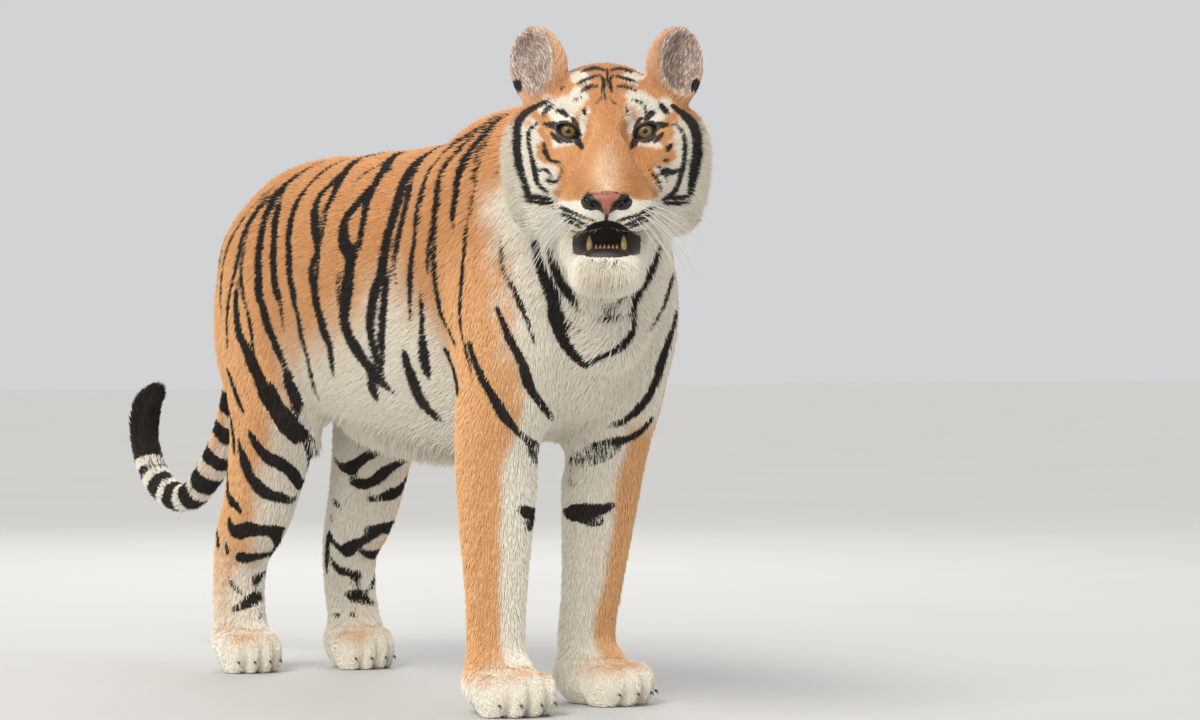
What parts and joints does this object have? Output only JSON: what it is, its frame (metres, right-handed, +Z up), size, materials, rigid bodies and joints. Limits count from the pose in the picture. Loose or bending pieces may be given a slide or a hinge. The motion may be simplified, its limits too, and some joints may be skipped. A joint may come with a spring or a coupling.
{
  "type": "bengal tiger, still life-size model",
  "caption": "Still life-size model of a bengal tiger that stands on four paws, its head turned to its right and its mouth a little open.",
  "frame": {"origin": "middle of the whole model's box, on the floor", "axes": "+Z up, the tiger's chest faces -Y and its left side is +X"},
  "size_m": [0.4572, 2.0342, 1.0749],
  "materials": {
    "body_coat": "short dense fur, orange with black stripes, white below",
    "face_coat": "very short fur, orange, white and black",
    "ear_coat": "pale hair inside, black with a white spot behind",
    "tail_coat": "fur with black rings and a black tip",
    "paw_coat": "short pale fur",
    "chin_and_teeth": "white chin fur round dark lips and ivory teeth",
    "nose": "damp pink-brown leather",
    "eyes": "clear gloss over an amber iris"
  },
  "bodies": {
    "root": {"belly": "body_coat", "chest": "body_coat", "ear_left": "ear_coat", "ear_right": "ear_coat", "eye_left": "eyes", "eye_right": "eyes", "front_left_lower_leg": "body_coat", "front_left_paw": "paw_coat", "front_left_upper_leg": "body_coat", "front_right_lower_leg": "body_coat", "front_right_paw": "paw_coat", "front_right_upper_leg": "body_coat", "head": "face_coat", "hind_left_lower_leg": "body_coat", "hind_left_paw": "paw_coat", "hind_left_upper_leg": "body_coat", "hind_right_lower_leg": "body_coat", "hind_right_paw": "paw_coat", "hind_right_upper_leg": "body_coat", "lower_jaw": "chin_and_teeth", "neck": "body_coat", "nose": "nose", "rump": "body_coat", "tail_1": "tail_coat", "tail_2": "tail_coat", "tail_3": "tail_coat", "tail_4": "tail_coat", "tail_5": "tail_coat"}
  },
  "joints": []
}
